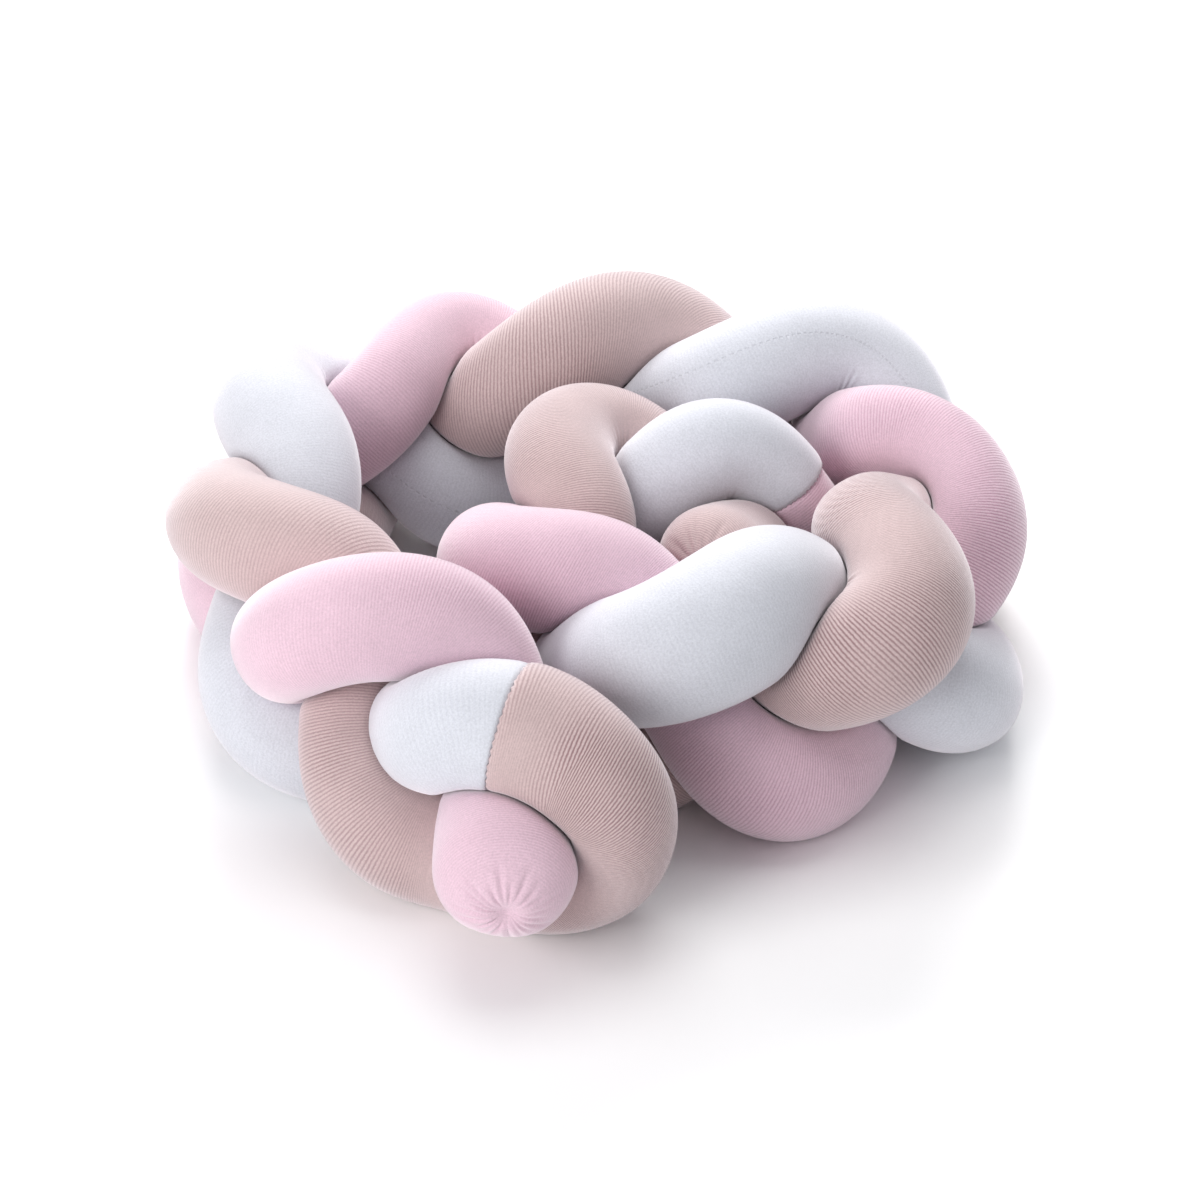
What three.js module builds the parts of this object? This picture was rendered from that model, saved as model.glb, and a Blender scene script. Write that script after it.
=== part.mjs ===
// Braided crib bumper: one long padded tube in three colours, plaited and coiled on its edge.
// Millimetres, +Z up. The floor is z = 0 and the origin is the middle of the footprint.
//
// The tube is folded in a Z: the pink length runs the whole braid, turns back at the inner end,
// is sewn there to the white length, which turns back again at the outer end, where the beige
// length is sewn on. So two lengths end in a gathered tip and the two turns carry the seams.
import * as THREE from "three";

// Driving dimensions
const TUBE_RADIUS = 33;
const PIECE_GAP = 0.8;
const SEAM_GAP = 0.3;
const SEAM_DRAW_IN = 1.5;
const SEAM_BAND = 7;
const TIP_DIMPLE = 7;
const EDGE_ROUNDING = 9;
const EASED_LENGTH = 32;
const PRESSED_FLAT = 0.8;

// The braid, lobe by lobe, from its outer end. x, y and top place the middle of the crest;
// depth is how far a length swings to either side, lean tips the crest towards the inside of
// the coil and swell fattens it. low, foot and spread do the same for the trough that follows
// half a lobe later: its height, how far it stands outwards, and its extra radius.
const LOBES = [
  { x: -30, y: -186, top: 124, depth: 16, lean: 3, swell: 10, low: 28, foot: 13, spread: 5 },
  { x: -116, y: -120, top: 158, depth: 31, lean: -4, swell: 4, low: 33, foot: -11, spread: 7 },
  { x: -185, y: -26, top: 138, depth: 27, lean: 1, swell: 5, low: 29, foot: 6, spread: 4 },
  { x: -197, y: 138, top: 126, depth: 25, lean: -6, swell: 4, low: 24, foot: -3, spread: -2 },
  { x: -117, y: 209, top: 122, depth: 29, lean: -5, swell: -2, low: 29, foot: -7, spread: 7 },
  { x: -5, y: 214, top: 132, depth: 25, lean: -4, swell: 7, low: 28, foot: 6, spread: -1 },
  { x: 125, y: 187, top: 136, depth: 31, lean: -6, swell: 5, low: 28, foot: 2, spread: -2 },
  { x: 211, y: 106, top: 135, depth: 24, lean: 16, swell: -4, low: 28, foot: -10, spread: 8 },
  { x: 182, y: -40, top: 138, depth: 37, lean: 6, swell: 5, low: 32, foot: -4, spread: 12 },
  { x: 77, y: -88, top: 143, depth: 32, lean: -17, swell: 11, low: 27, foot: 8, spread: 5 },
  { x: -23, y: -50, top: 140, depth: 26, lean: -5, swell: 4, low: 30, foot: -3, spread: 0 },
  { x: -19, y: 61, top: 135, depth: 28, lean: -5, swell: 1, low: 32, foot: 4, spread: -3 },
  { x: 85, y: 103, top: 151, depth: 45, lean: -22, swell: 2, low: 34, foot: 6, spread: 0 },
];
const LOBES_PER_TURN = 3;
const FIRST_CREST = { white: 0, pink: 1, beige: 2 };
const POINTS_PER_LOBE = 4;

// The turns and tips beyond the plaited stretch: x, y, z and extra radius
const OUTER_TURN = [
  { x: -32, y: -193, z: 122, extra: 9 },
  { x: 10, y: -224, z: 105, extra: 0 },
  { x: 7, y: -209, z: 51, extra: -2 },
  { x: -29, y: -197, z: 29, extra: 0 },
];
const INNER_TURN = [
  { x: 77, y: 105, z: 30, extra: 0 },
  { x: 134, y: 94, z: 40, extra: 0 },
  { x: 121, y: 76, z: 92, extra: 0 },
  { x: 94, y: 80, z: 134, extra: -3 },
];
const PINK_TIP = [
  { x: -50, y: -240, z: 73, extra: 7 },
  { x: -51, y: -210, z: 76, extra: 6 },
];
const BEIGE_TIP = [
  { x: 92, y: 69, z: 78, extra: 0 },
  { x: 70, y: -7, z: 116, extra: 0 },
];
// Where the colours change, in points past the start of each turn
const OUTER_SEAM = -0.5;
const INNER_SEAM = 2.4;

// How finely the solids are cut
const SIDES = 18;
const SAMPLE_STEP = 4;
const STATION_STEP = 32;
const STATION_TURN = 0.6;
const TIP_ANGLES = [22, 44, 64, 80];
const SEATING_PASSES = 2;

// The tube against its own next stretch, by the length of tube between two places: nearer than
// OWN_SKIP they are one and the same, up to OWN_STRETCH they press as equals, and the gap
// between two pieces of cloth opens from PARTING_STARTS to PARTING_FULL.
const OWN_SKIP = 12;
const OWN_STRETCH = 150;
const PARTING_STARTS = 40;
const PARTING_FULL = 100;

/** Catmull-Rom value and slope of one column at place p, running straight on past both ends. */
function columnAt(values, p) {
  const last = values.length - 1;
  const i = Math.min(Math.max(Math.floor(p), 0), last - 1);
  const t = p - i;
  const before = i > 0 ? values[i - 1] : 2 * values[0] - values[1];
  const after = i + 2 <= last ? values[i + 2] : 2 * values[last] - values[last - 1];
  const linear = values[i + 1] - before;
  const square = 2 * before - 5 * values[i] + 4 * values[i + 1] - after;
  const cube = -before + 3 * values[i] - 3 * values[i + 1] + after;
  return {
    value: values[i] + 0.5 * t * (linear + t * (square + t * cube)),
    slope: 0.5 * (linear + t * (2 * square + 3 * t * cube)),
  };
}

const COLUMN = {};
for (const name of Object.keys(LOBES[0])) COLUMN[name] = LOBES.map((lobe) => lobe[name]);

/** One point of a plaited length: it rises and dips once, and swings twice, in three lobes. */
function plaitedPoint(firstCrest, p) {
  const crest = (name) => columnAt(COLUMN[name], p).value;
  const trough = (name) => columnAt(COLUMN[name], p - 0.5).value;
  const x = columnAt(COLUMN.x, p);
  const y = columnAt(COLUMN.y, p);
  const phase = Math.PI / 2 + (2 * Math.PI * (p - firstCrest)) / LOBES_PER_TURN;
  const up = Math.max(0, Math.sin(phase));
  const down = Math.max(0, -Math.sin(phase));
  const inward = crest("depth") * Math.sin(2 * phase) + crest("lean") * up - trough("foot") * down;
  const along = Math.hypot(x.slope, y.slope);
  const lift = (1 + Math.sin(phase)) / 2;
  return {
    x: x.value + (inward * y.slope) / along,
    y: y.value - (inward * x.slope) / along,
    z: trough("low") + (crest("top") - trough("low")) * lift,
    extra: crest("swell") * up + trough("spread") * down,
  };
}

/** The points of one plaited length from lobe place "from" to lobe place "to", both included. */
function plaitedRun(firstCrest, from, to) {
  const count = Math.round(Math.abs(to - from) * POINTS_PER_LOBE);
  const run = [];
  for (let i = 0; i <= count; i += 1) {
    run.push(plaitedPoint(firstCrest, from + ((to - from) * i) / count));
  }
  return run;
}

const pinkRun = [...PINK_TIP, ...plaitedRun(FIRST_CREST.pink, 0.25, 11.5)];
const whiteRun = [...INNER_TURN, ...plaitedRun(FIRST_CREST.white, 11.75, 0.25)];
const beigeRun = [...OUTER_TURN, ...plaitedRun(FIRST_CREST.beige, 0.5, 11.75), ...BEIGE_TIP];
const route = [...pinkRun, ...whiteRun, ...beigeRun];
const innerSeamPoint = pinkRun.length + INNER_SEAM;
const outerSeamPoint = pinkRun.length + whiteRun.length + OUTER_SEAM;

/** Each value of a list as the mean of its neighbours over EASED_LENGTH, taken twice. */
function eased(values) {
  const reachOut = Math.round(EASED_LENGTH / SAMPLE_STEP / 2);
  const once = (list) =>
    list.map((_, i) => {
      const near = Math.min(reachOut, i, list.length - 1 - i);
      const window = list.slice(i - near, i + near + 1);
      return window.reduce((sum, value) => sum + value, 0) / window.length;
    });
  return once(once(values));
}

/**
 * The tube's middle line as close samples, each with its radius, its length so far, its place
 * among the route's points, and a frame that follows the line without twisting.
 */
function sampleRoute() {
  const corners = route.map((point) => new THREE.Vector3(point.x, point.y, point.z));
  const rough = new THREE.CatmullRomCurve3(corners, false, "catmullrom", 0.5);
  rough.arcLengthDivisions = corners.length * 20;
  const count = Math.round(rough.getLength() / SAMPLE_STEP);
  const spaced = rough.getSpacedPoints(count);
  const [x, y, z] = ["x", "y", "z"].map((axis) => eased(spaced.map((point) => point[axis])));
  const places = spaced.map((_, i) => rough.getUtoTmapping(i / count) * (corners.length - 1));
  const extras = route.map((point) => point.extra);
  const swells = eased(places.map((place) => columnAt(extras, place).value));
  const centres = spaced.map((_, i) => new THREE.Vector3(x[i], y[i], z[i]));

  const line = [];
  let normal = new THREE.Vector3(0, 0, 1);
  let at = 0;
  centres.forEach((centre, i) => {
    const before = centres[Math.max(i - 1, 0)];
    const after = centres[Math.min(i + 1, count)];
    const tangent = after.clone().sub(before).normalize();
    normal = normal.clone().addScaledVector(tangent, -normal.dot(tangent)).normalize();
    const side = tangent.clone().cross(normal);
    at += i > 0 ? centre.distanceTo(before) : 0;
    const radius = TUBE_RADIUS + swells[i];
    line.push({ index: i, centre, tangent, normal, side, at, place: places[i], radius });
  });
  return line;
}

const samples = sampleRoute();
const pressing = samples.filter((sample, i) => i % 2 === 0 || i === samples.length - 1);

/** The smaller of two lengths, with the corner between them rounded over "width". */
function softMin(a, b, width) {
  const overlap = Math.max(width - Math.abs(a - b), 0) / width;
  return Math.min(a, b) - (overlap * overlap * width) / 4;
}

/**
 * How far from the middle line the cloth may stand in one direction. Where another stretch of
 * tube presses, both stop at the plane in which their two round sections would meet, half a gap
 * short of it, and where the floor presses they stop at z = 0.
 */
function pressedLimit(sample, direction) {
  let limit = Infinity;
  for (const other of pressing) {
    const apart = Math.abs(other.at - sample.at);
    if (apart < OWN_SKIP) continue;
    const dx = other.centre.x - sample.centre.x;
    const dy = other.centre.y - sample.centre.y;
    const dz = other.centre.z - sample.centre.z;
    const towards = dx * direction.x + dy * direction.y + dz * direction.z;
    if (towards <= 0) continue;
    const squared = dx * dx + dy * dy + dz * dz;
    const parting = PIECE_GAP * THREE.MathUtils.smoothstep(apart, PARTING_STARTS, PARTING_FULL);
    const stouter = apart < OWN_STRETCH ? 0 : sample.radius ** 2 - other.radius ** 2;
    limit = Math.min(limit, (squared + stouter - parting * Math.sqrt(squared)) / (2 * towards));
  }
  if (direction.z < 0) limit = Math.min(limit, sample.centre.z / -direction.z);
  return limit;
}

/** How far the cloth does stand: the tube's own radius or the pressed limit, rounded between. */
function reach(sample, direction) {
  return softMin(sample.radius, pressedLimit(sample, direction), EDGE_ROUNDING);
}

/** A ring of cloth points round one sample, tipped "lift" degrees towards "outward". */
function ring(sample, { lift = 0, outward = 1, drawIn = 0, shift = 0 } = {}) {
  const tip = THREE.MathUtils.degToRad(lift);
  const points = [];
  for (let k = 0; k < SIDES; k += 1) {
    const angle = (2 * Math.PI * k) / SIDES;
    const direction = new THREE.Vector3()
      .addScaledVector(sample.normal, Math.cos(angle) * Math.cos(tip))
      .addScaledVector(sample.side, Math.sin(angle) * Math.cos(tip))
      .addScaledVector(sample.tangent, Math.sin(tip) * outward);
    const point = sample.centre.clone().addScaledVector(direction, reach(sample, direction) - drawIn);
    points.push(point.addScaledVector(sample.tangent, shift));
  }
  return { sample, points };
}

/** How far a point in the middle of a facet stands past the pressed limit round one sample. */
function excess(sample, first, second) {
  const arm = first.clone().add(second).multiplyScalar(0.5).sub(sample.centre);
  const length = arm.length();
  return length - pressedLimit(sample, arm.divideScalar(length));
}

/** Draws ring points in until the facets between them, too, keep to the pressed limit. */
function seatFacets(rings) {
  for (let pass = 0; pass < SEATING_PASSES; pass += 1) {
    const pull = rings.map(() => new Array(SIDES).fill(0));
    const note = (row, k, amount) => {
      pull[row][k % SIDES] = Math.max(pull[row][k % SIDES], amount);
    };
    rings.forEach(({ sample, points }, row) => {
      const next = rings[Math.min(row + 1, rings.length - 1)];
      const middle = samples[Math.round((sample.index + next.sample.index) / 2)];
      for (let k = 0; k < SIDES; k += 1) {
        const k1 = (k + 1) % SIDES;
        const pairs = [
          [row, k, row, k1, sample, points[k1]],
          [row, k, row + 1, k, middle, next.points[k]],
          [row, k, row + 1, k1, middle, next.points[k1]],
        ];
        const count = row + 1 < rings.length ? pairs.length : 1;
        for (const [rowA, kA, rowB, kB, near, other] of pairs.slice(0, count)) {
          const amount = excess(near, points[k], other);
          note(rowA, kA, amount);
          note(rowB, kB, amount);
        }
      }
    });
    rings.forEach(({ sample, points }, row) => {
      points.forEach((point, k) => {
        const arm = sample.centre.clone().sub(point);
        point.addScaledVector(arm.normalize(), pull[row][k]);
      });
    });
  }
}

/** The rings and the pole of a rounded, gathered tip, from the last full ring outwards. */
function gatheredTip(sample, outward) {
  const rings = TIP_ANGLES.map((lift) => {
    const dimple = TIP_DIMPLE * THREE.MathUtils.smoothstep(lift, 60, 90);
    return ring(sample, { lift, outward, drawIn: dimple });
  });
  const axis = sample.tangent.clone().multiplyScalar(outward);
  const depth = reach(sample, axis) - TIP_DIMPLE;
  return { rings, pole: sample.centre.clone().addScaledVector(axis, depth) };
}

/** Samples from "first" to "last" where rings are cut: closer together where the tube bends. */
function stationsBetween(first, last) {
  const stations = [];
  let due = 0;
  for (let i = first; i <= last; i += 1) {
    if (i > first) {
      const turned = samples[i].tangent.angleTo(samples[i - 1].tangent);
      due += SAMPLE_STEP / STATION_STEP + turned / STATION_TURN;
    }
    if (due >= 1) {
      stations.push(samples[i]);
      due = 0;
    }
  }
  return stations;
}

/** A closed skin over rings that follow each other, with one point closing each end. */
function skinOver(rings, startPoint, endPoint) {
  const points = [startPoint, ...rings.flatMap((each) => each.points), endPoint];
  const end = points.length - 1;
  const index = [];
  const at = (row, k) => 1 + row * SIDES + (k % SIDES);
  for (let k = 0; k < SIDES; k += 1) {
    index.push(0, at(0, k + 1), at(0, k));
    for (let row = 0; row + 1 < rings.length; row += 1) {
      index.push(at(row, k), at(row, k + 1), at(row + 1, k + 1));
      index.push(at(row, k), at(row + 1, k + 1), at(row + 1, k));
    }
    index.push(at(rings.length - 1, k), at(rings.length - 1, k + 1), end);
  }
  const onFloor = (z) => (z < PRESSED_FLAT ? 0 : z);
  const position = points.flatMap((point) => [point.x, point.y, onFloor(point.z)]);
  const geometry = new THREE.BufferGeometry();
  geometry.setAttribute("position", new THREE.Float32BufferAttribute(position, 3));
  geometry.setIndex(index);
  geometry.computeVertexNormals();
  return geometry;
}

/** The flat sewn end of a length at one seam, on its own side of the seam. */
function sewnEnd(seam, side) {
  const shift = (side * SEAM_GAP) / 2;
  const flat = ring(samples[seam], { drawIn: SEAM_DRAW_IN, shift });
  const centre = samples[seam].centre.clone().addScaledVector(samples[seam].tangent, shift);
  return { rings: [flat], pole: centre };
}

/** One length of filled tube, from sample "first" to sample "last": sewn or gathered at its ends. */
function tubeLength({ name, colour, first, last }) {
  const band = Math.round(SEAM_BAND / SAMPLE_STEP);
  const middle = stationsBetween(first + band, last - band);
  const stations = [samples[first + band], ...middle, samples[last - band]];
  const rings = stations.map((sample) => ring(sample));
  seatFacets(rings);
  const start = first === 0 ? gatheredTip(samples[first], -1) : sewnEnd(first, 1);
  const finish = last === samples.length - 1 ? gatheredTip(samples[last], 1) : sewnEnd(last, -1);
  const skin = skinOver([...start.rings.reverse(), ...rings, ...finish.rings], start.pole, finish.pole);
  const cloth = new THREE.MeshStandardMaterial({ color: colour, roughness: 0.95, metalness: 0 });
  const mesh = new THREE.Mesh(skin, cloth);
  mesh.name = name;
  return mesh;
}

const innerSeam = samples.findIndex((sample) => sample.place >= innerSeamPoint);
const outerSeam = samples.findIndex((sample) => sample.place >= outerSeamPoint);
const LENGTHS = [
  { name: "pink_length", colour: "#dfb3c6", first: 0, last: innerSeam },
  { name: "white_length", colour: "#e9eaf0", first: innerSeam, last: outerSeam },
  { name: "beige_length", colour: "#cdb0ae", first: outerSeam, last: samples.length - 1 },
];

const bumper = new THREE.Group();
for (const length of LENGTHS) bumper.add(tubeLength(length));

export default bumper;
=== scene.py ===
"""Braided crib bumper: three padded velour tubes, plaited flat and coiled on edge.

One long tube is folded in a Z. The pink length runs the whole braid, turns back at the inner end
and is sewn there to the white length, which turns back at the outer end, where the beige length
is sewn on. Lengths in the tables are millimetres, and MM turns them to metres.
"""

import math

import bpy
import numpy as np
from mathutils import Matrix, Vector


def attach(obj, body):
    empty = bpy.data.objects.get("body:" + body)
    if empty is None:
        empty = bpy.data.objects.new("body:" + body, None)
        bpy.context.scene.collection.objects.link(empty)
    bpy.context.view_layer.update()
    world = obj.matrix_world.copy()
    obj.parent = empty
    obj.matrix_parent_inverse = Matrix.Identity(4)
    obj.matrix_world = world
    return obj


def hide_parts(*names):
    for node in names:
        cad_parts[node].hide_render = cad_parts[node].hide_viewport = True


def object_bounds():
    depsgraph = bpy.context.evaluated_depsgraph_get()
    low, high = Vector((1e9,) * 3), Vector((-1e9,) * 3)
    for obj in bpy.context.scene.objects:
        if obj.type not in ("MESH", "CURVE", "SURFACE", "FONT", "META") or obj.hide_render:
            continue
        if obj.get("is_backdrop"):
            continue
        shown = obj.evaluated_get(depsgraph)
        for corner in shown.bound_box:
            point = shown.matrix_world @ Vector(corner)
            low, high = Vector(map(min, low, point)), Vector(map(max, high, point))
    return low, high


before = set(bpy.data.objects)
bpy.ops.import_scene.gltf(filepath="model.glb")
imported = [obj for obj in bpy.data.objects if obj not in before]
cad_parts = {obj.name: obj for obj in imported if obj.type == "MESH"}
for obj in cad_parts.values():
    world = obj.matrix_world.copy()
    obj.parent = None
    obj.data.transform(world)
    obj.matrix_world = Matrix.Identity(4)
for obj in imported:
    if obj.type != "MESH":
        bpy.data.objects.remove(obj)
cad_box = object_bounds()

MM = 0.001

# The braid's route, as in the part's source

TUBE_RADIUS = 33
PIECE_GAP = 0.8
EASED_LENGTH = 32
OWN_SKIP = 12
OWN_STRETCH = 150
PARTING_STARTS = 40
PARTING_FULL = 100
LEAST_HALFWAY = 1
NOTHING_PRESSES = 1e-4

# Lobe by lobe from the outer end: x, y, top, depth, lean and swell of the crest, then low, foot
# and spread of the trough that follows half a lobe later
LOBES = np.array([
    [-30, -186, 124, 16, 3, 10, 28, 13, 5],
    [-116, -120, 158, 31, -4, 4, 33, -11, 7],
    [-185, -26, 138, 27, 1, 5, 29, 6, 4],
    [-197, 138, 126, 25, -6, 4, 24, -3, -2],
    [-117, 209, 122, 29, -5, -2, 29, -7, 7],
    [-5, 214, 132, 25, -4, 7, 28, 6, -1],
    [125, 187, 136, 31, -6, 5, 28, 2, -2],
    [211, 106, 135, 24, 16, -4, 28, -10, 8],
    [182, -40, 138, 37, 6, 5, 32, -4, 12],
    [77, -88, 143, 32, -17, 11, 27, 8, 5],
    [-23, -50, 140, 26, -5, 4, 30, -3, 0],
    [-19, 61, 135, 28, -5, 1, 32, 4, -3],
    [85, 103, 151, 45, -22, 2, 34, 6, 0],
], dtype=float).T
X, Y, TOP, DEPTH, LEAN, SWELL, LOW, FOOT, SPREAD = LOBES
LOBES_PER_TURN = 3
POINTS_PER_LOBE = 4
# Each length's first crest, and the lobes at which its plaited run starts and stops
RUNS = {"pink": (1, 0.25, 11.5), "white": (0, 11.75, 0.25), "beige": (2, 0.5, 11.75)}

# The turns and tips beyond the plaited stretch: x, y, z and extra radius
OUTER_TURN = [[-32, -193, 122, 9], [10, -224, 105, 0], [7, -209, 51, -2], [-29, -197, 29, 0]]
INNER_TURN = [[77, 105, 30, 0], [134, 94, 40, 0], [121, 76, 92, 0], [94, 80, 134, -3]]
PINK_TIP = [[-50, -240, 73, 7], [-51, -210, 76, 6]]
BEIGE_TIP = [[92, 69, 78, 0], [70, -7, 116, 0]]
# Where the colours meet, in points from the first of the outer and of the inner turn
OUTER_SEAM = -0.5
INNER_SEAM = 2.4

# How finely the cloth is cut

SAMPLE_STEP = 2.6
ROUGH_PLACES = 40
SIDES = 108
TIP_RINGS = 34
PRESSING_EVERY = 3
ROWS_AT_ONCE = 64

# The cloth's own shape

# Lengths are in millimetres and angles in radians
EDGE_ROUNDING = 4
LUMP_HEIGHT = 0.9
LUMP_LENGTH = 38
MOST_HUMPS = 4
SINE_SEEDS = 10
CREASE_PITCH = 10.5
CREASE_HEIGHT = 1.0
CREASE_ROOM = (0.35, 0.95)
CREASE_DRIFT = 1.6
CREASE_DRIFT_SAMPLES = 12
CREASE_SLANT = 0.6
CREASE_SHARPNESS = 0.7
CREASE_SUNK = 0.4
SEAM_DRAW_IN = 0.8
SEAM_WIDTH = 2.5
SEAM_GAP = 0.3
SEAM_TOOTH = 0.45
SEAM_TOOTH_SIZES = (0.4, 1.6)
SEAM_TOOTH_SEED = 7
SEAM_PUCKERS = 46
PUCKER_HEIGHT = 0.28
PUCKER_SPREAD = 2.2
PUCKER_UNEVEN = 1.3
TIP_DIMPLE = 5
TIP_DIMPLE_STARTS = 1.15
TIP_DIMPLE_CURVE = 1.5
PLEATS = 21
PLEAT_DEPTH = 2.3
PLEAT_REACH = 40
PLEAT_SHARPNESS = 0.6
PLEAT_DEEPENS = (0, 0.4)
PLEAT_FADES = (0.5, 0.85)
PINK_SEED = 3
WHITE_SEED = 40
BEIGE_SEED = 80
# The tube's own sewn edge lies underneath and behind, but turns up into sight on the white length:
# degrees turned, against millimetres past the inner seam
EDGE_DIRECTION = (0, 0.82, -0.57)
EDGE_AT = (640, 860, 1200, 1300, 1390, 1520)
EDGE_TURNED = (0, 196, 204, 160, 155, 360)
# The knit's courses: millimetres along the tube, their pitch along the middle line in millimetres,
# and how clearly they show through the nap
COURSES = np.array([
    [-45, 1.8, 0.15],
    [-15, 1.8, 0.65],
    [100, 1.6, 0.6],
    [240, 1.25, 0.3],
    [700, 1.3, 0.45],
    [1290, 1.5, 1.0],
    [1700, 1.25, 0.6],
    [4080, 1.9, 0.9],
    [4125, 1.8, 0.9],
    [4150, 1.0, 0.9],
    [4200, 0.95, 0.9],
    [4346, 1.6, 0.85],
    [4550, 2.2, 0.4],
    [5020, 2.0, 0.75],
    [5580, 1.4, 1.0],
    [5625, 0.85, 1.0],
    [5640, 0.8, 1.0],
    [5665, 0.95, 0.85],
    [5900, 1.4, 0.8],
    [6330, 1.7, 0.8],
]).T
COURSES_AT, COURSE_PITCH, COURSES_SHOW = COURSES
# The courses' lean from square across the tube: millimetres along it, and degrees
LEANS = np.array([
    [0, 0], [200, 7], [740, 0], [1230, -8], [1450, -10], [1730, 17], [2100, 0], [4200, -8], [4330, -5],
    [4500, 5], [4660, 16], [5180, 27], [5560, 12], [5640, 0], [5700, -12], [5860, -26], [6220, 15],
]).T
LEAN_AT, COURSE_LEAN = LEANS
# How clearly the courses show where a bend stretches the cloth, by its length over the middle line's
STRETCH = (0.55, 1.35)
STRETCH_SHOWS = (0.15, 1)


def column_at(values, place):
    """Catmull-Rom value and slope of a list at any place: a cubic between two values whose slope
    at each is half the difference of its neighbours, running straight on past both ends."""
    values = np.asarray(values, float)
    last = len(values) - 1
    i = np.clip(np.floor(place).astype(int), 0, last - 1)
    t = place - i
    padded = np.concatenate(([2 * values[0] - values[1]], values, [2 * values[-1] - values[-2]]))
    before, here, after, beyond = padded[i], padded[i + 1], padded[i + 2], padded[i + 3]
    linear = after - before
    square = 2 * before - 5 * here + 4 * after - beyond
    cube = -before + 3 * here - 3 * after + beyond
    value = here + 0.5 * t * (linear + t * (square + t * cube))
    slope = 0.5 * (linear + t * (2 * square + 3 * t * cube))
    return value, slope


def plaited_run(first_crest, start, stop):
    """Points of one length: in three lobes its height makes one wave and its sideways swing two,
    so that it goes over, under and between the others."""
    count = round(abs(stop - start) * POINTS_PER_LOBE) + 1
    place = np.linspace(start, stop, count)
    crest = lambda values: column_at(values, place)[0]
    trough = lambda values: column_at(values, place - 0.5)[0]
    x, x_slope = column_at(X, place)
    y, y_slope = column_at(Y, place)
    phase = math.pi / 2 + 2 * math.pi * (place - first_crest) / LOBES_PER_TURN
    up = np.maximum(np.sin(phase), 0)
    down = np.maximum(-np.sin(phase), 0)
    inward = crest(DEPTH) * np.sin(2 * phase) + crest(LEAN) * up - trough(FOOT) * down
    along = np.hypot(x_slope, y_slope)
    lift = (1 + np.sin(phase)) / 2
    z = trough(LOW) + (crest(TOP) - trough(LOW)) * lift
    extra = crest(SWELL) * up + trough(SPREAD) * down
    return np.stack([x + inward * y_slope / along, y - inward * x_slope / along, z, extra], axis=1)


def eased(values):
    """Each value as the mean of its neighbours over EASED_LENGTH, taken twice."""
    reach = round(EASED_LENGTH / SAMPLE_STEP / 2)
    index = np.arange(len(values))
    near = np.minimum(reach, np.minimum(index, index[::-1]))
    for _ in range(2):
        total = np.concatenate((np.zeros((1,) + values.shape[1:]), np.cumsum(values, axis=0)))
        window = (2 * near + 1).reshape((-1,) + (1,) * (values.ndim - 1))
        values = (total[index + near + 1] - total[index - near]) / window
    return values


def unit(vectors):
    """Vectors of length one."""
    return vectors / np.linalg.norm(vectors, axis=-1, keepdims=True)


class Line:
    """The tube's middle line as close samples, with frames that follow it without twisting."""

    def __init__(self):
        pink = np.vstack([PINK_TIP, plaited_run(*RUNS["pink"])])
        white = np.vstack([INNER_TURN, plaited_run(*RUNS["white"])])
        beige = np.vstack([OUTER_TURN, plaited_run(*RUNS["beige"]), BEIGE_TIP])
        route = np.vstack([pink, white, beige])
        places = np.linspace(0, len(route) - 1, len(route) * ROUGH_PLACES)
        rough = np.stack([column_at(column, places)[0] for column in route.T], axis=1)
        length = np.concatenate(([0], np.cumsum(np.linalg.norm(np.diff(rough[:, :3], axis=0), axis=1))))
        count = round(length[-1] / SAMPLE_STEP) + 1
        spaced = np.linspace(0, length[-1], count)
        place = np.interp(spaced, length, places)
        points = eased(np.stack([np.interp(spaced, length, column) for column in rough.T], axis=1))
        self.centre = points[:, :3]
        self.radius = TUBE_RADIUS + points[:, 3]
        self.tangent = unit(np.gradient(self.centre, axis=0))
        steps = np.linalg.norm(np.diff(self.centre, axis=0), axis=1)
        self.at = np.concatenate(([0], np.cumsum(steps)))
        normal = np.array([0.0, 0.0, 1.0])
        normals = []
        for tangent in self.tangent:
            normal = unit(normal - tangent * normal.dot(tangent))
            normals.append(normal)
        self.normal = np.array(normals)
        self.side = np.cross(self.tangent, self.normal)
        self.bend = np.gradient(self.tangent, axis=0) / np.gradient(self.at)[:, None]
        self.inner_seam = int(np.argmax(place >= len(pink) + INNER_SEAM))
        self.outer_seam = int(np.argmax(place >= len(pink) + len(white) + OUTER_SEAM))
        self.last = count - 1
        away = np.arctan2(self.side @ EDGE_DIRECTION, self.normal @ EDGE_DIRECTION)
        away = eased(np.unwrap(away))
        turned = np.interp(self.at - self.at[self.inner_seam], EDGE_AT, EDGE_TURNED)
        self.sewn_edge = away / (2 * math.pi) + turned / 360
        self.pitch = np.interp(self.at, COURSES_AT, COURSE_PITCH)
        self.courses = np.cumsum(np.gradient(self.at) / self.pitch)


line = Line()


def smoothstep(values, low, high):
    """0 below low, 1 above high and an S-shaped cubic between."""
    t = np.clip((values - low) / (high - low), 0, 1)
    return t * t * (3 - 2 * t)


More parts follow.
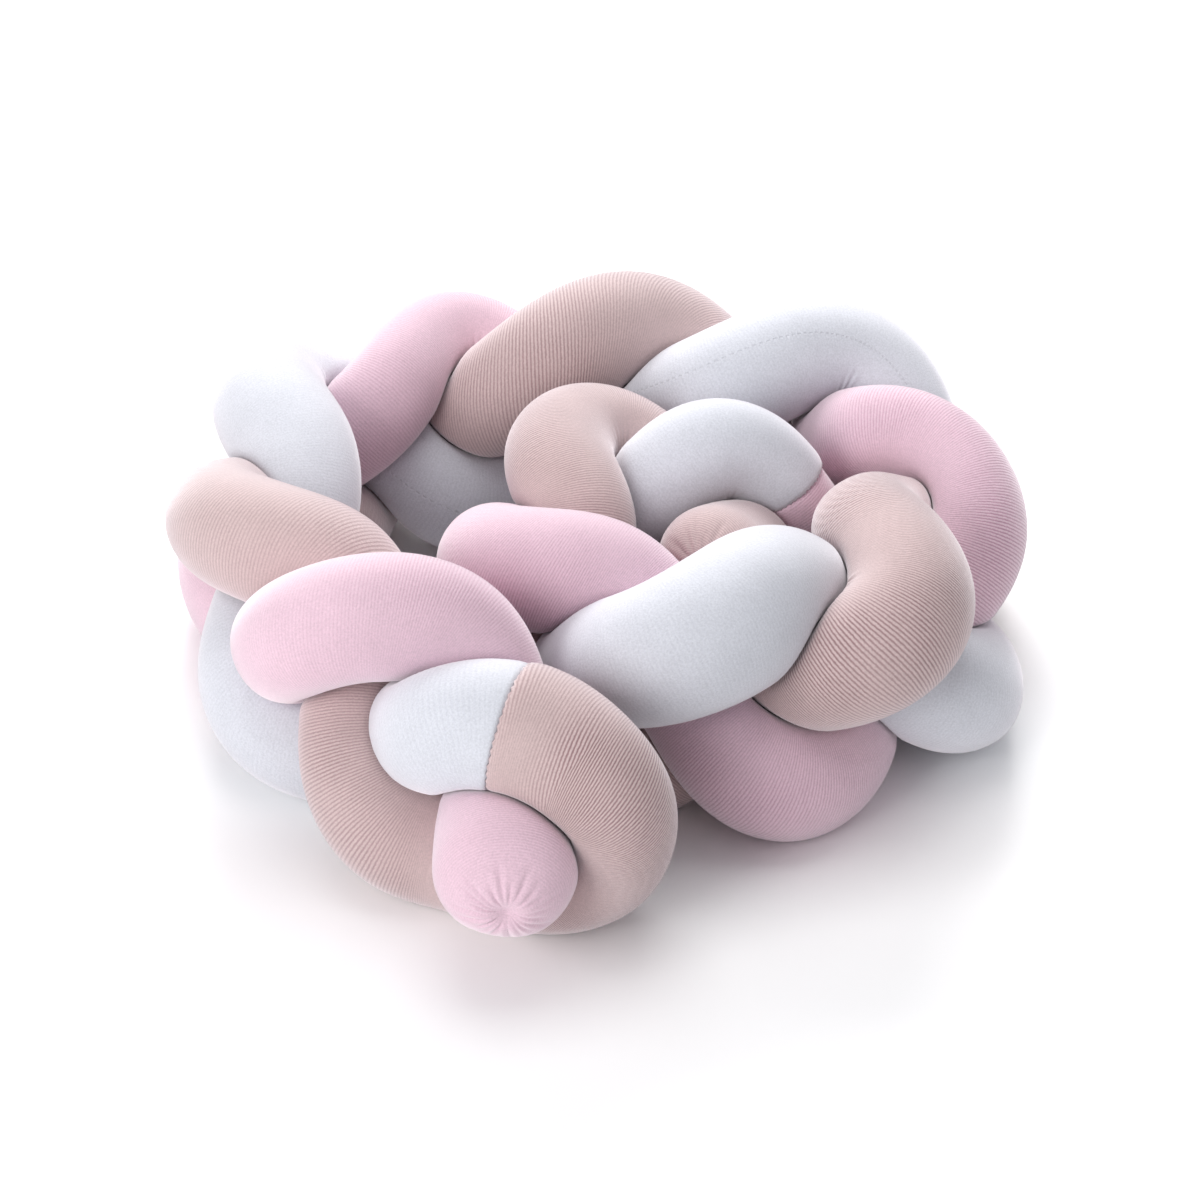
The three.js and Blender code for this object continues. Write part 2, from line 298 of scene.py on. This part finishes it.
def pressed_limit(rows, directions):
    """How far the cloth may stand from the middle line. Where another stretch presses, both stop at
    the plane in which their two round sections would meet, half a gap short of it, and at the floor
    they stop at z = 0. The nearest plane along a direction is the one whose reciprocal is largest."""
    others = np.arange(0, line.last + 1, PRESSING_EVERY)
    nearest = np.empty(directions.shape[:2])
    for start in range(0, len(rows), ROWS_AT_ONCE):
        block = rows[start:start + ROWS_AT_ONCE]
        rays = directions[start:start + ROWS_AT_ONCE]
        apart = np.abs(line.at[others][None, :] - line.at[block][:, None])
        away = line.centre[others][None, :, :] - line.centre[block][:, None, :]
        distance = np.linalg.norm(away, axis=2)
        stouter = line.radius[block][:, None] ** 2 - line.radius[others][None, :] ** 2
        stouter = np.where(apart < OWN_STRETCH, 0, stouter)
        parting = PIECE_GAP * smoothstep(apart, PARTING_STARTS, PARTING_FULL)
        halfway = (distance ** 2 + stouter - parting * distance) / 2
        weight = np.where(apart < OWN_SKIP, 0, 1 / np.maximum(halfway, LEAST_HALFWAY))
        planes = away * weight[:, :, None]
        inverse = np.matmul(rays, planes.transpose(0, 2, 1)).max(axis=2)
        floor = -rays[:, :, 2] / line.centre[block][:, 2][:, None]
        nearest[start:start + ROWS_AT_ONCE] = np.maximum(inverse, floor)
    return 1 / np.maximum(nearest, NOTHING_PRESSES)


def soft_min(a, b, width):
    """The smaller of two lengths, with the corner between them rounded over a width."""
    overlap = np.maximum(width - np.abs(a - b), 0) / width
    return np.minimum(a, b) - overlap * overlap * width / 4


def wandering(count, spacing, seed):
    """Smooth random numbers along a length: noise eased over a spacing, scaled back to one."""
    noise = np.random.default_rng(seed).normal(size=count + 6 * spacing)
    kernel = np.exp(-0.5 * (np.arange(-3 * spacing, 3 * spacing + 1) / spacing) ** 2)
    smooth = np.convolve(noise, kernel / np.sqrt((kernel ** 2).sum()), mode="valid")
    return smooth[:count]


ANGLES = 2 * math.pi * np.arange(SIDES) / SIDES


def lumps(rows, seed):
    """Uneven filling: waves of one to MOST_HUMPS humps round the tube, each with a height and a turn
    that wander along the length."""
    total = np.zeros((len(rows), SIDES))
    spacing = int(LUMP_LENGTH / SAMPLE_STEP)
    for humps in range(1, MOST_HUMPS + 1):
        cosine = wandering(line.last + 1, spacing, seed + humps)[rows]
        sine = wandering(line.last + 1, spacing, seed + SINE_SEEDS + humps)[rows]
        wave = cosine[:, None] * np.cos(humps * ANGLES) + sine[:, None] * np.sin(humps * ANGLES)
        total += LUMP_HEIGHT * wave / humps
    return total


def short_of_room(rows, directions):
    """How much shorter than the middle line the cloth's own line is: its distance from the middle
    towards the inside of the bend times the bend, so 0 on a straight and less than 0 outside."""
    return np.einsum("ikx,ix->ik", directions, line.bend[rows]) * line.radius[rows][:, None]


def creases(rows, directions, seed):
    """Cloth gathered on the inside of a bend: ripples along the length, as deep as the cloth there
    is short of room, with a pitch that wanders."""
    room = smoothstep(short_of_room(rows, directions), *CREASE_ROOM)
    drift = CREASE_DRIFT * wandering(line.last + 1, CREASE_DRIFT_SAMPLES, seed)[rows][:, None]
    slant = CREASE_SLANT * np.sin(ANGLES + seed)[None, :]
    ripple = np.sin(2 * math.pi * line.at[rows][:, None] / CREASE_PITCH + drift + slant)
    sharpened = np.abs(ripple) ** CREASE_SHARPNESS * np.sign(ripple)
    return CREASE_HEIGHT * room * (sharpened - CREASE_SUNK)


def seam_dip(distance):
    """A sewn joint draws the cloth in: a narrow bell-shaped groove with small puckers beside it."""
    groove = np.exp(-(distance / SEAM_WIDTH) ** 2)[:, None]
    beside = np.exp(-(distance / (PUCKER_SPREAD * SEAM_WIDTH)) ** 2)[:, None]
    pucker = np.cos(SEAM_PUCKERS * ANGLES + PUCKER_UNEVEN * np.sin(3 * ANGLES))[None, :]
    return -SEAM_DRAW_IN * groove + PUCKER_HEIGHT * beside * (1 - groove) * pucker


def pleats(from_pole, seed):
    """Gathers at a closed tip: narrow grooves between rounded ridges that run towards the pole, a
    wave round the tube sharpened at its troughs, with spacing, depth and length each made uneven by
    slower waves. They are deepest between PLEAT_REACH and the pole, and gone at the pole."""
    turn = ANGLES + 0.07 * np.sin(2 * ANGLES + seed) + 0.04 * np.sin(5 * ANGLES + 2 * seed)
    groove = 1 - np.abs(np.cos(PLEATS * turn / 2)) ** PLEAT_SHARPNESS
    deeper = 0.8 + 0.3 * np.sin(3 * ANGLES + seed) * np.cos(2 * ANGLES)
    longer = 0.8 + 0.2 * np.sin(8 * ANGLES + seed)
    near = np.clip(1 - from_pole[:, None] / (PLEAT_REACH * longer)[None, :], 0, 1)
    depth = PLEAT_DEPTH * smoothstep(near, *PLEAT_DEEPENS) * (1 - smoothstep(near, *PLEAT_FADES))
    return -depth * (groove * deeper)[None, :]


def seam_teeth():
    """How far each point of a joint's edge stands along the tube: small uneven teeth, the same for
    both pieces, so that they fit into each other."""
    size = SEAM_TOOTH * np.random.default_rng(SEAM_TOOTH_SEED).uniform(*SEAM_TOOTH_SIZES, SIDES)
    return np.where(np.arange(SIDES) % 2 == 0, size, -size)


def ring_directions(rows, lift=0.0, outward=1):
    """Unit rays round each sample, tipped by a lift angle towards the tube's free end."""
    lift = np.broadcast_to(lift, (len(rows),))[:, None, None]
    cosine = np.cos(ANGLES)[None, :, None]
    sine = np.sin(ANGLES)[None, :, None]
    flat = line.normal[rows][:, None, :] * cosine + line.side[rows][:, None, :] * sine
    return flat * np.cos(lift) + line.tangent[rows][:, None, :] * np.sin(lift) * outward


def body_rings(rows, seed, seams):
    """Rings of cloth round the samples: the free radius with its lumps, creases and seam dips, held
    back where something presses."""
    directions = ring_directions(rows)
    free = line.radius[rows][:, None] + lumps(rows, seed) + creases(rows, directions, seed)
    limit = pressed_limit(rows, directions)
    dip = np.zeros_like(free)
    for seam in seams:
        dip += seam_dip(line.at[rows] - line.at[seam])
    reach = soft_min(free, limit, EDGE_ROUNDING) + dip
    return line.centre[rows][:, None, :] + directions * reach[:, :, None]


def tip_rings(tip, outward, seed):
    """A gathered tip: rays fan out from the last sample up to the pole, where the cloth dips in."""
    lifts = np.linspace(0, math.pi / 2, TIP_RINGS + 2)[1:-1]
    rows = np.full(len(lifts), tip)
    directions = ring_directions(rows, lifts, outward)
    free = line.radius[tip] + lumps(rows, seed) * np.cos(lifts)[:, None]
    reach = soft_min(free, pressed_limit(rows, directions), EDGE_ROUNDING)
    from_pole = (math.pi / 2 - lifts) * line.radius[tip]
    reach += pleats(from_pole, seed)
    dimple = smoothstep(lifts, TIP_DIMPLE_STARTS, math.pi / 2) ** TIP_DIMPLE_CURVE
    reach -= (TIP_DIMPLE * dimple)[:, None]
    rings = line.centre[tip] + directions * reach[:, :, None]
    pole = line.centre[tip] + line.tangent[tip] * outward * (line.radius[tip] - TIP_DIMPLE)
    return rings, lifts * line.radius[tip], pole


def closed_skin(name, rings, start_point, end_point, along, flat_ends, shown):
    """A closed mesh over rings, with one point closing each end, shaded flat where it is a joint. Its
    first UV map holds turns round the tube from its own sewn edge and the number of knit courses so
    far, which leans where the tube is twisted. Its second holds the turns from the sewn edge either
    way and metres along. Its shown attribute says how clearly the courses show, from 0 to 1."""
    rows = len(rings)
    points = np.vstack([[start_point], rings.reshape(-1, 3), [end_point]]) * MM
    row, k = np.meshgrid(np.arange(rows - 1), np.arange(SIDES), indexing="ij")
    side = np.arange(SIDES)
    after = (side + 1) % SIDES
    corner = lambda r, c: 1 + r * SIDES + c
    quad = (corner(row, k), corner(row, after[k]), corner(row + 1, after[k]), corner(row + 1, k))
    quads = np.stack(quad, axis=-1).reshape(-1, 4)
    start_pole = np.zeros(SIDES, int)
    end_pole = np.full(SIDES, len(points) - 1)
    start_fan = np.stack([start_pole, corner(0, after), corner(0, side)], axis=1)
    end_fan = np.stack([end_pole, corner(rows - 1, side), corner(rows - 1, after)], axis=1)
    mesh = bpy.data.meshes.new(name)
    mesh.from_pydata(points.tolist(), [], quads.tolist() + start_fan.tolist() + end_fan.tolist())

    turns = np.arange(SIDES + 1) / SIDES
    at_corners = (row, row, row + 1, row + 1)
    each_corner = lambda values: np.stack([values[corners] for corners in at_corners], axis=-1)
    line_values = lambda values: each_corner(np.interp(along, line.at, values))
    u = np.stack([turns[k], turns[k + 1], turns[k + 1], turns[k]], axis=-1)
    from_edge = u - np.interp(along, line.at, line.sewn_edge)[row][..., None]
    middle = from_edge.mean(axis=-1, keepdims=True)
    once_round = from_edge - np.floor(middle)
    either_way = from_edge - np.round(middle)
    beyond_ends = along - np.clip(along, line.at[0], line.at[-1])
    lean = each_corner(np.tan(np.radians(np.interp(along, LEAN_AT, COURSE_LEAN))))
    twisted = 2 * math.pi * line_values(line.radius) * lean * once_round
    further = each_corner(beyond_ends) + twisted
    courses = line_values(line.courses) + further / line_values(line.pitch)
    quad_uv = np.stack([once_round, courses], axis=-1).reshape(-1, 2)
    edge_uv = np.stack([either_way, each_corner(along) * MM], axis=-1).reshape(-1, 2)
    half = (turns[:-1] + turns[1:]) / 2
    fan_uv = []
    for first, last, end_course in (
        (side + 1, side, courses[0, 0, 0]),
        (side, side + 1, courses[-1, 0, -1]),
    ):
        fan_u = np.stack([half, turns[first], turns[last]], axis=1)
        fan_uv.append(np.stack([fan_u, np.full_like(fan_u, end_course)], axis=-1).reshape(-1, 2))
    layer = mesh.uv_layers.new(name="UVMap")
    layer.data.foreach_set("uv", np.vstack([quad_uv] + fan_uv).astype(np.float32).ravel())
    layer = mesh.uv_layers.new(name="SewnEdge")
    far_uv = np.full((6 * SIDES, 2), 0.5)
    layer.data.foreach_set("uv", np.vstack([edge_uv, far_uv]).astype(np.float32).ravel())
    smooth = np.repeat([True, not flat_ends[0], not flat_ends[1]], [len(quads), SIDES, SIDES])
    mesh.polygons.foreach_set("use_smooth", smooth)
    layer = mesh.attributes.new("shown", "FLOAT", "POINT")
    layer.data.foreach_set("value", np.concatenate([[0], shown.ravel(), [0]]))
    mesh.update()
    piece = bpy.data.objects.new(name, mesh)
    bpy.context.scene.collection.objects.link(piece)
    return piece


def padded_length(name, first, last, first_is_tip, last_is_tip, seed, material):
    """One length of the filled tube from sample first to sample last, declared to the frame."""
    rows = np.arange(first, last + 1)
    seams = [end for end, is_tip in ((first, first_is_tip), (last, last_is_tip)) if not is_tip]
    rings = body_rings(rows, seed, seams)
    stretch = 1 - short_of_room(rows, ring_directions(rows))
    along = line.at[rows]
    start_point = line.centre[first]
    end_point = line.centre[last]
    half_gap = SEAM_GAP / 2
    teeth = seam_teeth()[:, None]
    if first_is_tip:
        cap, from_tip, start_point = tip_rings(first, -1, seed)
        rings = np.concatenate([cap[::-1], rings])
        stretch = np.concatenate([np.ones((TIP_RINGS, SIDES)), stretch])
        along = np.concatenate([along[0] - from_tip[::-1], along])
    else:
        rings[0] += line.tangent[first] * (half_gap + teeth)
        start_point = start_point + line.tangent[first] * half_gap
    if last_is_tip:
        cap, from_tip, end_point = tip_rings(last, 1, seed)
        rings = np.concatenate([rings, cap])
        stretch = np.concatenate([stretch, np.ones((TIP_RINGS, SIDES))])
        along = np.concatenate([along, along[-1] + from_tip])
    else:
        rings[-1] += line.tangent[last] * (teeth - half_gap)
        end_point = end_point - line.tangent[last] * half_gap
    opened = np.interp(stretch, STRETCH, STRETCH_SHOWS)
    shown = opened * np.interp(along, COURSES_AT, COURSES_SHOW)[:, None]
    flat_ends = (not first_is_tip, not last_is_tip)
    piece = closed_skin(name, rings, start_point, end_point, along, flat_ends, shown)
    piece.data.materials.append(material)
    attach(piece, "root")
    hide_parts(name.replace("cloth", "length"))


# Materials

# Heights and pitches are in millimetres, the wander and fray in courses and the noise scales in
# waves a metre. The height of a stitch and the depth of its groove count in course heights.
COURSE_HEIGHT = 0.22
COURSE_WANDER = 1.2
COURSE_WANDER_SCALE = 20
COURSE_FRAY = 0.3
COURSE_FRAY_SCALE = 500
RIB_RISE = (-1.0, 0.6)
PATCH_SCALE = 14
PATCH_RANGE = (0.36, 0.62)
PATCH_LEAST = 0.6
NAP_HEIGHT = 0.17
NAP_SCALE = 900
NAP_TONES = (0.91, 1.08)
CLOTH_SCALE = 38
CLOTH_TONES = (0.97, 1.02)
NOISE_RANGE = (0.3, 0.7)
# Along the sewn edge, the stitches are painted lighter where they stand up, a painted highlight, and the
# groove is painted darker, a painted shade
STITCH_PITCH = 3.2
STITCH_RISE = (-0.3, 0.5)
STITCH_PAINTED_HIGHLIGHT = 0.1
STITCH_HEIGHT = 1.4
EDGE_GROOVE_TURNS = 0.0045
EDGE_GROOVE_PAINTED_SHADE = 0.07
EDGE_GROOVE_DEPTH = 1.2


def linear(hex_colour):
    """An sRGB hex colour as linear red, green and blue, and an alpha of 1."""
    channels = [int(hex_colour[i:i + 2], 16) / 255 for i in (1, 3, 5)]
    decoded = [c / 12.92 if c <= 0.04045 else ((c + 0.055) / 1.055) ** 2.4 for c in channels]
    return (*decoded, 1.0)


def add(tree, kind, inputs=None, **settings):
    """A new node with its settings, and each input either linked to a socket or set to a value."""
    node = tree.nodes.new(kind)
    for name, value in settings.items():
        setattr(node, name, value)
    for name, value in (inputs or {}).items():
        if isinstance(value, bpy.types.NodeSocket):
            tree.links.new(value, node.inputs[name])
        else:
            node.inputs[name].default_value = value
    return node


def velour(name, face, groove, ribs):
    """Knitted cotton velour jersey: a short brushed nap over knit courses that run round the tube,
    with a row of small stitches along the tube's own sewn edge. The face colour is that of the
    ridges, the groove colour is painted shade in the valleys between them, and ribs says how
    strongly both show. The sewn edge is painted darker in its groove, a painted shade, and
    lighter on its raised stitches, a painted highlight."""
    material = bpy.data.materials.new(name)
    material.use_nodes = True
    tree = material.node_tree
    tree.nodes.clear()

    def math_node(operation, *values):
        return add(tree, "ShaderNodeMath", dict(enumerate(values)), operation=operation).outputs[0]

    def noise(scale, detail):
        settings = {"Vector": place.outputs["Object"], "Scale": scale, "Detail": detail}
        return add(tree, "ShaderNodeTexNoise", settings).outputs[0]

    def ranged(value, low, high, to_low=0.0, to_high=1.0, interpolation="LINEAR"):
        inputs = {0: value, 1: low, 2: high, 3: to_low, 4: to_high}
        return add(tree, "ShaderNodeMapRange", inputs, interpolation_type=interpolation).outputs[0]

    place = add(tree, "ShaderNodeTexCoord")
    uv = add(tree, "ShaderNodeUVMap", uv_map="UVMap")
    tube = add(tree, "ShaderNodeSeparateXYZ", {0: uv.outputs[0]})
    edge_uv = add(tree, "ShaderNodeUVMap", uv_map="SewnEdge")
    edge = add(tree, "ShaderNodeSeparateXYZ", {0: edge_uv.outputs[0]})

    wobbled = math_node("MULTIPLY_ADD", noise(COURSE_WANDER_SCALE, 2), COURSE_WANDER, tube.outputs[1])
    uneven = math_node("MULTIPLY_ADD", noise(COURSE_FRAY_SCALE, 1), COURSE_FRAY, wobbled)
    wave = math_node("SINE", math_node("MULTIPLY", uneven, 2 * math.pi))
    rib = ranged(wave, *RIB_RISE, interpolation="SMOOTHSTEP")
    patches = ranged(noise(PATCH_SCALE, 2), *PATCH_RANGE, PATCH_LEAST * ribs, ribs)
    clearness = add(tree, "ShaderNodeAttribute", attribute_name="shown")
    shown = math_node("MULTIPLY", patches, clearness.outputs["Fac"])
    valley = math_node("SUBTRACT", 1.0, rib)
    shade = math_node("MULTIPLY", valley, shown)

    from_edge = math_node("ABSOLUTE", edge.outputs[0])
    groove_line = ranged(from_edge, 0.0, EDGE_GROOVE_TURNS, 1.0, 0.0, "SMOOTHSTEP")
    stitch_turns = math_node("MULTIPLY", edge.outputs[1], 2 * math.pi / (STITCH_PITCH * MM))
    stitch_wave = math_node("SINE", stitch_turns)
    stitch = math_node("MULTIPLY", groove_line, ranged(stitch_wave, *STITCH_RISE))
    # Painted shade in the sewn edge's groove, and a painted highlight on each raised stitch
    groove_painted_shade = math_node("MULTIPLY_ADD", groove_line, -EDGE_GROOVE_PAINTED_SHADE, 1.0)
    sewn_painted_light = math_node("MULTIPLY_ADD", stitch, STITCH_PAINTED_HIGHLIGHT, groove_painted_shade)

    # The course valleys take the groove colour, a painted shade, as far as the courses show
    cloth = add(tree, "ShaderNodeMix", {0: shade, 6: linear(face), 7: linear(groove)}, data_type="RGBA")
    nap = noise(NAP_SCALE, 2)
    nap_tone = ranged(nap, *NOISE_RANGE, *NAP_TONES)
    cloth_tone = ranged(noise(CLOTH_SCALE, 4), *NOISE_RANGE, *CLOTH_TONES)
    tone = math_node("MULTIPLY", math_node("MULTIPLY", nap_tone, cloth_tone), sewn_painted_light)
    colour = add(tree, "ShaderNodeVectorMath", {0: cloth.outputs[2], 3: tone}, operation="SCALE")
    relief = math_node("MULTIPLY", rib, shown)
    grooved = math_node("MULTIPLY_ADD", groove_line, -EDGE_GROOVE_DEPTH, relief)
    sewn = math_node("MULTIPLY_ADD", stitch, STITCH_HEIGHT, grooved)
    courses = add(
        tree,
        "ShaderNodeBump",
        {"Height": sewn, "Strength": 1.0, "Distance": COURSE_HEIGHT * MM},
    )
    brushed = add(
        tree,
        "ShaderNodeBump",
        {"Height": nap, "Strength": 1.0, "Distance": NAP_HEIGHT * MM, "Normal": courses.outputs[0]},
    )
    shader = add(
        tree,
        "ShaderNodeBsdfPrincipled",
        {
            "Base Color": colour.outputs[0],
            "Roughness": 0.92,
            "IOR": 1.5,
            "Specular IOR Level": 0.15,
            "Sheen Weight": 0.9,
            "Sheen Roughness": 0.45,
            "Sheen Tint": linear("#fffafd"),
            "Normal": brushed.outputs[0],
        },
    )
    add(tree, "ShaderNodeOutputMaterial", {"Surface": shader.outputs[0]})
    return material


# Each velour's second colour is the painted shade of the valleys between its knit courses
pink_velour = velour("pink_velour", "#dbbdca", "#b28498", 0.85)
white_velour = velour("white_velour", "#cdcfd6", "#b1b2bf", 0.2)
beige_velour = velour("beige_velour", "#c6b0af", "#7f5b5f", 0.85)

padded_length("pink_cloth", 0, line.inner_seam, True, False, PINK_SEED, pink_velour)
padded_length("white_cloth", line.inner_seam, line.outer_seam, False, False, WHITE_SEED, white_velour)
padded_length("beige_cloth", line.outer_seam, line.last, False, True, BEIGE_SEED, beige_velour)


# Floor, light and camera

# The camera is in degrees and millimetres, the rest in metres and watts
FLOOR_HALF = 6.0
SOFT_BOX_SIZE = 1.4
LIGHT_TARGET = (0, 0, 0.05)
LIGHTS = (
    ("overhead", 16, (0, 0.2, 2.2)),
    ("behind", 60, (0, 2.0, 1.3)),
    ("front_left", 36, (-1.6, -1.6, 1.2)),
)
WORLD_STRENGTH = 0.45
CAMERA_ELEVATION = 35
CAMERA_DISTANCE = 2300
CAMERA_TARGET = (2, -10, 90)
PIXELS_PER_MM = 1.677
FRAME_PIXELS = 1200
SENSOR_WIDTH = 36


def plain_material(name, colour, roughness):
    """A plain painted studio surface with one even colour."""
    material = bpy.data.materials.new(name)
    material.use_nodes = True
    shader = material.node_tree.nodes["Principled BSDF"]
    shader.inputs["Base Color"].default_value = linear(colour)
    shader.inputs["Roughness"].default_value = roughness
    shader.inputs["Specular IOR Level"].default_value = 0.1
    return material


def studio_floor():
    """A wide pale floor at z = 0."""
    signs = ((-1, -1), (1, -1), (1, 1), (-1, 1))
    corners = [(x * FLOOR_HALF, y * FLOOR_HALF, 0) for x, y in signs]
    mesh = bpy.data.meshes.new("studio_floor")
    mesh.from_pydata(corners, [], [(0, 1, 2, 3)])
    floor = bpy.data.objects.new("studio_floor", mesh)
    floor.data.materials.append(plain_material("pale_floor", "#ffffff", 0.9))
    bpy.context.scene.collection.objects.link(floor)
    floor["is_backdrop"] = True


def soft_box(name, power, location):
    """A square soft light that faces the braid."""
    data = bpy.data.lights.new(name, "AREA")
    data.shape = "SQUARE"
    data.size = SOFT_BOX_SIZE
    data.energy = power
    lamp = bpy.data.objects.new(name, data)
    lamp.location = location
    aim = np.array(LIGHT_TARGET) - np.array(location)
    level = math.hypot(aim[0], aim[1])
    lamp.rotation_euler = (math.atan2(level, -aim[2]), 0, math.atan2(-aim[0], aim[1]))
    bpy.context.scene.collection.objects.link(lamp)


def studio_light():
    """Even white surroundings and the soft lights."""
    world = bpy.data.worlds.new("studio")
    world.use_nodes = True
    background = world.node_tree.nodes["Background"]
    background.inputs["Color"].default_value = linear("#fbfbff")
    background.inputs["Strength"].default_value = WORLD_STRENGTH
    bpy.context.scene.world = world
    for name, power, location in LIGHTS:
        soft_box(name, power, location)
    bpy.context.scene.view_settings.view_transform = "Standard"


def camera():
    """The photograph's view: looking along +Y and down at the braid through a long lens."""
    tilt = math.radians(CAMERA_ELEVATION)
    data = bpy.data.cameras.new("camera")
    data.sensor_width = SENSOR_WIDTH
    data.lens = SENSOR_WIDTH * PIXELS_PER_MM * CAMERA_DISTANCE / FRAME_PIXELS
    eye = bpy.data.objects.new("camera", data)
    back = np.array([0, -math.cos(tilt), math.sin(tilt)]) * CAMERA_DISTANCE
    eye.location = (np.array(CAMERA_TARGET) + back) * MM
    eye.rotation_euler = (math.pi / 2 - tilt, 0, 0)
    bpy.context.scene.collection.objects.link(eye)
    bpy.context.scene.camera = eye


studio_floor()
studio_light()
camera()

sizes = {"cad": [list(corner) for corner in cad_box], "visual": [list(corner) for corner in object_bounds()]}
